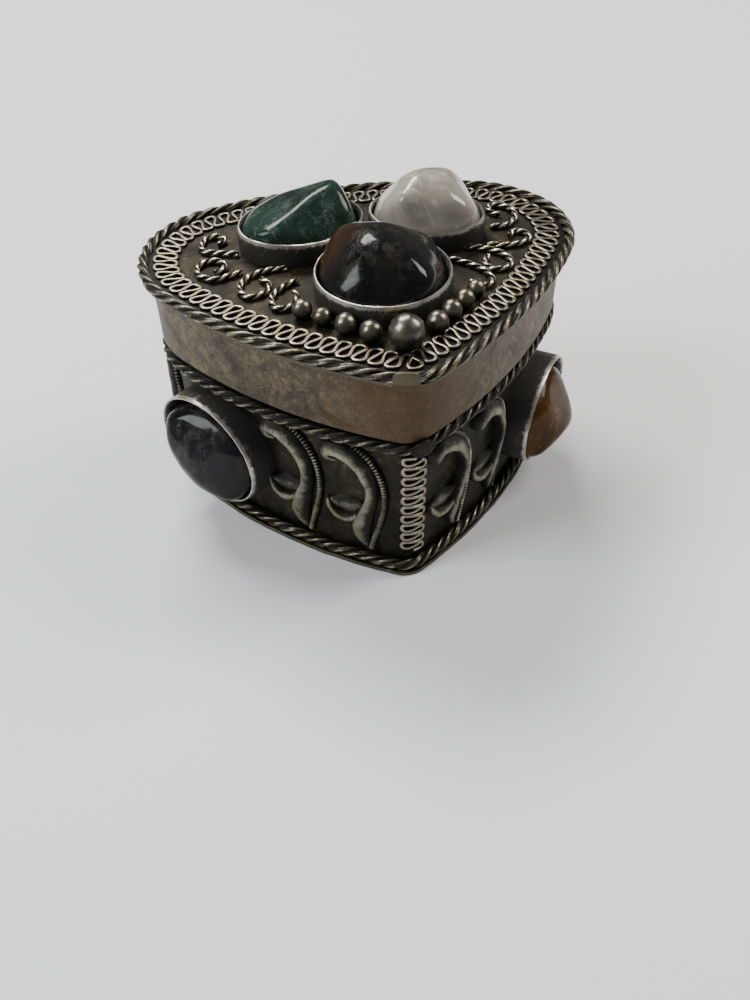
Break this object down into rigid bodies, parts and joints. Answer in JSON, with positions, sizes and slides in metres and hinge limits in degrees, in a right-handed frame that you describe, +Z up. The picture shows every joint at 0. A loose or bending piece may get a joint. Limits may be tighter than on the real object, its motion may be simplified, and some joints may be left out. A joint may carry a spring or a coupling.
{
  "type": "trinket box",
  "caption": "Shield-shaped metal trinket box with a hinged lid, twisted-wire rope edges, bent-wire filigree, stamped crescents and polished stones in bezels.",
  "frame": {"origin": "middle of the shield-shaped footprint, on the underside of the bottom plate", "axes": "+Z up out of the lid, -Y towards the nose of the shield (the front), +X to the right seen from the front"},
  "size_m": [0.0768, 0.0637, 0.0539],
  "materials": {
    "oxidised_sheet": "oxidised silver plate",
    "worn_band": "worn silver plate with the copper showing",
    "rope_wire": "aged silver plate, dark in the hollows",
    "flat_wire": "aged silver plate",
    "stamped_silver": "aged silver plate",
    "solder_ball": "dark polished",
    "bezel_strip": "dull silver with a bright edge",
    "smoky_stone": "polished",
    "green_agate": "polished",
    "milky_quartz": "polished",
    "plum_agate": "polished",
    "amber_agate": "polished"
  },
  "bodies": {
    "base": {"base_floor": "oxidised_sheet", "base_wall": "oxidised_sheet", "beaded_wires": "rope_wire", "crescent_left_1": "stamped_silver", "crescent_left_2": "stamped_silver", "crescent_left_3": "stamped_silver", "crescent_left_4": "stamped_silver", "crescent_left_5": "stamped_silver", "crescent_right_1": "stamped_silver", "crescent_right_2": "stamped_silver", "crescent_right_3": "stamped_silver", "crescent_right_4": "stamped_silver", "crescent_right_5": "stamped_silver", "foot_rope": "rope_wire", "hinge_leaf_base": "oxidised_sheet", "hinge_pin": "oxidised_sheet", "left_bezel": "bezel_strip", "left_stone": "plum_agate", "nose_filigree": "flat_wire", "right_bezel": "bezel_strip", "right_stone": "amber_agate", "rope_joint_plate": "rope_wire", "upper_rope": "rope_wire"},
    "lid": {"hinge_leaf_lid": "oxidised_sheet", "lid_plate": "oxidised_sheet", "lid_band": "worn_band", "lid_rim_rope": "rope_wire", "lid_joint_tab": "rope_wire", "lid_ribbon": "flat_wire", "front_ball": "solder_ball", "left_ball_1": "solder_ball", "left_ball_2": "solder_ball", "left_ball_3": "solder_ball", "left_ball_4": "solder_ball", "left_scroll_1": "rope_wire", "left_scroll_2": "rope_wire", "left_scroll_3": "rope_wire", "left_scroll_4": "rope_wire", "right_ball_1": "solder_ball", "right_ball_2": "solder_ball", "right_ball_3": "solder_ball", "right_ball_4": "solder_ball", "right_scroll_1": "rope_wire", "right_scroll_2": "rope_wire", "right_scroll_3": "rope_wire", "right_scroll_4": "rope_wire", "black_stone": "smoky_stone", "black_bezel": "bezel_strip", "green_stone": "green_agate", "green_bezel": "bezel_strip", "clear_stone": "milky_quartz", "clear_bezel": "bezel_strip"}
  },
  "joints": [
    {"name": "lid_hinge", "type": "hinge", "parent": "base", "child": "lid", "pos_m": [0, 0.03076, 0.0298], "axis": [-1, 0, 0], "range_deg": [0, 100]}
  ]
}
